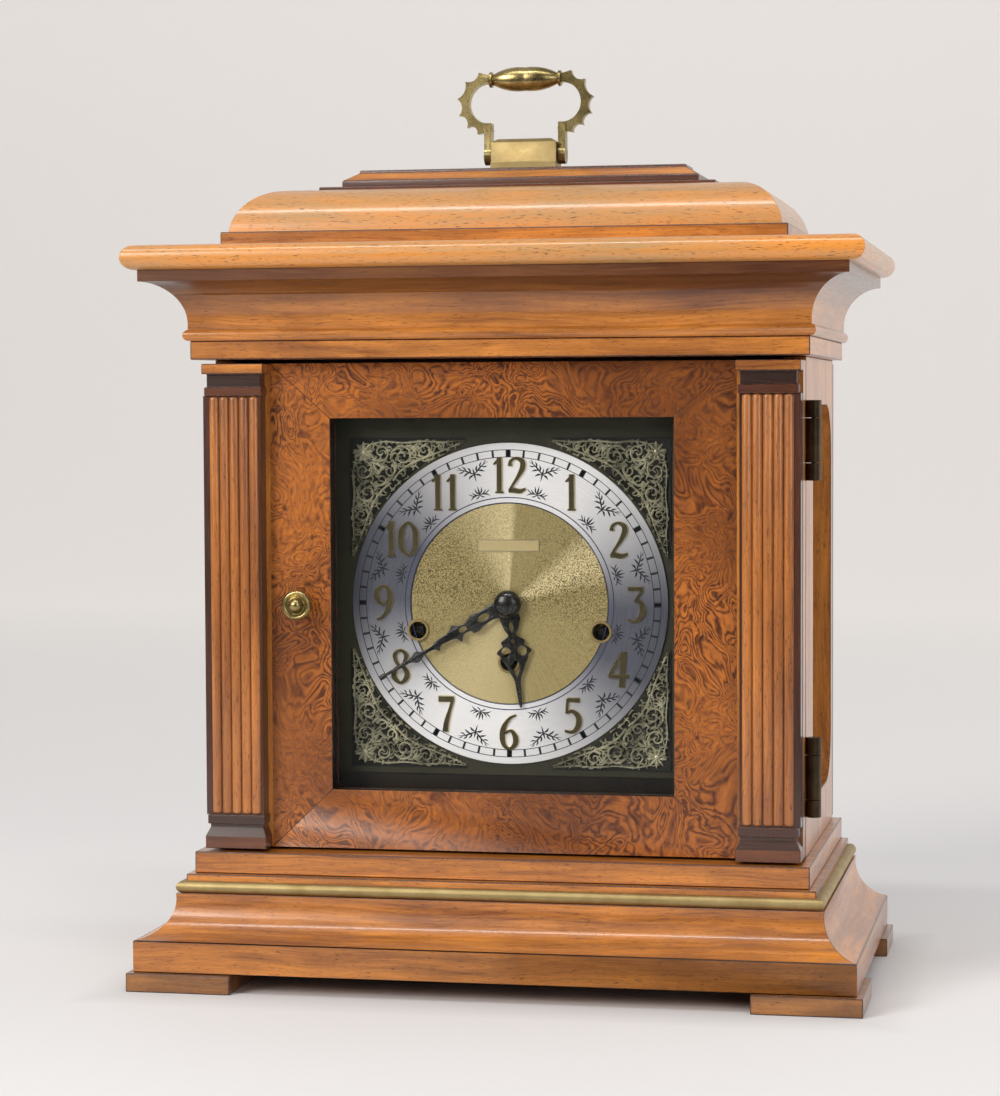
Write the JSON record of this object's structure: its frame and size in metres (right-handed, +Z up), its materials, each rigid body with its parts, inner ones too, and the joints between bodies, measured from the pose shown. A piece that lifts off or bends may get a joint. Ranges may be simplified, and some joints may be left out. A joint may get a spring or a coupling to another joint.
{
  "type": "mantel clock",
  "caption": "Square bracket mantel clock: moulded wooden case, hinged glass front between reeded pilasters, bail handle, round chapter ring and chiming movement.",
  "frame": {"origin": "middle of the case's footprint, on the surface it stands on", "axes": "+Z up, -Y towards the dial's viewer, +X to the viewer's right"},
  "size_m": [0.3538, 0.1984, 0.4495],
  "materials": {
    "wood": "satin lacquer",
    "veneer": "figured veneer, satin lacquer",
    "dark_wood": "stained",
    "brass": "antique",
    "bronze": "dark antique",
    "dial_gold": "engraved",
    "dial_silver": "circular brushed",
    "dial_plate": "satin",
    "black_steel": "satin black",
    "cloth": "woven",
    "glass": "clear",
    "movement_brass": "bright",
    "steel": "satin",
    "hammer": "turned, with a leather face",
    "casting": "painted"
  },
  "bodies": {
    "case": {"corner_feet": "wood", "plinth_rails": "wood", "base_coves": "wood", "bottom_board": "dark_wood", "brass_bands": "brass", "step_board": "wood", "base_board": "wood", "side_panel_left": "veneer", "side_panel_right": "veneer", "side_cloths": "cloth", "frieze_board": "wood", "cornice_mouldings": "wood", "top_board": "wood", "caddy_base": "wood", "caddy_cushion": "wood", "caddy_cap": "wood", "handle_mount": "brass", "hinge_case_leaves": "bronze", "hinge_pins": "bronze", "dial_board": "dark_wood", "dial_plate": "dial_plate", "chapter_ring": "dial_silver", "dial_centre": "dial_gold", "spandrels": "brass", "hour_numerals": "bronze", "winding_eyelets": "brass", "movement_plates": "movement_brass", "movement_pillars": "steel", "rod_block": "casting", "chime_rods": "steel"},
    "front_door": {"door_stiles": "veneer", "door_rails": "veneer", "door_glass": "glass", "glass_stops": "dark_wood", "pilaster_shafts": "wood", "pilaster_capitals": "wood", "pilaster_bases": "wood", "door_knob": "brass", "hinge_door_leaves": "bronze"},
    "rear_door": {"back_door": "dark_wood", "back_door_leaves": "bronze"},
    "handle": {"bail_handle": "brass"},
    "minute_work": {"centre_arbor": "steel", "minute_hand": "black_steel", "hand_nut": "black_steel"},
    "hour_work": {"hour_wheel": "movement_brass", "hour_hand": "black_steel"},
    "motion_wheel": {"minute_wheel": "movement_brass"},
    "going_barrel": {"time_barrel": "movement_brass"},
    "striking_barrel": {"strike_barrel": "movement_brass"},
    "chiming_barrel": {"chime_barrel": "movement_brass"},
    "time_arbor": {"time_winding_arbor": "steel"},
    "strike_arbor": {"strike_winding_arbor": "steel"},
    "chime_arbor": {"chime_winding_arbor": "steel"},
    "balance": {"balance_wheel": "movement_brass"},
    "pin_drum": {"chime_drum": "movement_brass"},
    "hammer_1": {"chime_hammer_1": "hammer"},
    "hammer_2": {"chime_hammer_2": "hammer"},
    "hammer_3": {"chime_hammer_3": "hammer"},
    "hammer_4": {"chime_hammer_4": "hammer"}
  },
  "joints": [
    {"name": "front_door_swing", "type": "hinge", "parent": "case", "child": "front_door", "pos_m": [0.149, -0.0461, 0.185], "axis": [0, 0, 1], "range_deg": [0, 120]},
    {"name": "rear_door_swing", "type": "hinge", "parent": "case", "child": "rear_door", "pos_m": [-0.149, 0.0928, 0.185], "axis": [0, 0, 1], "range_deg": [0, 120]},
    {"name": "handle_swing", "type": "hinge", "parent": "case", "child": "handle", "pos_m": [0, 0.0096, 0.4057], "axis": [1, 0, 0], "range_deg": [-80, 80]},
    {"name": "minute_spin", "type": "hinge", "parent": "case", "child": "minute_work", "pos_m": [0, 0, 0.18475], "axis": [0, 1, 0], "continuous": true},
    {"name": "hour_spin", "type": "hinge", "parent": "case", "child": "hour_work", "pos_m": [0, 0, 0.18475], "axis": [0, 1, 0], "continuous": true},
    {"name": "motion_spin", "type": "hinge", "parent": "case", "child": "motion_wheel", "pos_m": [0.012, 0, 0.18475], "axis": [0, 1, 0], "continuous": true},
    {"name": "going_barrel_spin", "type": "hinge", "parent": "case", "child": "going_barrel", "pos_m": [0, 0, 0.15625], "axis": [0, 1, 0], "continuous": true},
    {"name": "time_arbor_spin", "type": "hinge", "parent": "case", "child": "time_arbor", "pos_m": [0, 0, 0.15625], "axis": [0, 1, 0], "continuous": true},
    {"name": "strike_arbor_spin", "type": "hinge", "parent": "case", "child": "strike_arbor", "pos_m": [-0.0454, 0, 0.17145], "axis": [0, 1, 0], "continuous": true},
    {"name": "chime_arbor_spin", "type": "hinge", "parent": "case", "child": "chime_arbor", "pos_m": [0.0454, 0, 0.17145], "axis": [0, 1, 0], "continuous": true},
    {"name": "striking_barrel_spin", "type": "hinge", "parent": "case", "child": "striking_barrel", "pos_m": [-0.0454, 0, 0.17145], "axis": [0, 1, 0], "continuous": true},
    {"name": "chiming_barrel_spin", "type": "hinge", "parent": "case", "child": "chiming_barrel", "pos_m": [0.0454, 0, 0.17145], "axis": [0, 1, 0], "continuous": true},
    {"name": "pin_drum_spin", "type": "hinge", "parent": "case", "child": "pin_drum", "pos_m": [0.0454, 0, 0.20445], "axis": [0, 1, 0], "continuous": true},
    {"name": "balance_swing", "type": "hinge", "parent": "case", "child": "balance", "pos_m": [-0.022, 0, 0.21475], "axis": [0, 1, 0], "range_deg": [-135, 135], "stiffness_Nm_per_rad": 0.00002},
    {"name": "hammer_1_lift", "type": "hinge", "parent": "case", "child": "hammer_1", "pos_m": [-0.034, 0.0378, 0.1348], "axis": [0, 1, 0], "range_deg": [0, 12]},
    {"name": "hammer_2_lift", "type": "hinge", "parent": "case", "child": "hammer_2", "pos_m": [-0.034, 0.0458, 0.1348], "axis": [0, 1, 0], "range_deg": [0, 12]},
    {"name": "hammer_3_lift", "type": "hinge", "parent": "case", "child": "hammer_3", "pos_m": [-0.034, 0.0538, 0.1348], "axis": [0, 1, 0], "range_deg": [0, 12]},
    {"name": "hammer_4_lift", "type": "hinge", "parent": "case", "child": "hammer_4", "pos_m": [-0.034, 0.0618, 0.1348], "axis": [0, 1, 0], "range_deg": [0, 12]}
  ],
  "couplings": [
    {"joint": "hour_spin", "follows": "minute_spin", "ratio": 0.083333},
    {"joint": "motion_spin", "follows": "minute_spin", "ratio": -0.33333},
    {"joint": "going_barrel_spin", "follows": "minute_spin", "ratio": -0.11765},
    {"joint": "pin_drum_spin", "follows": "chiming_barrel_spin", "ratio": -2.6667}
  ]
}
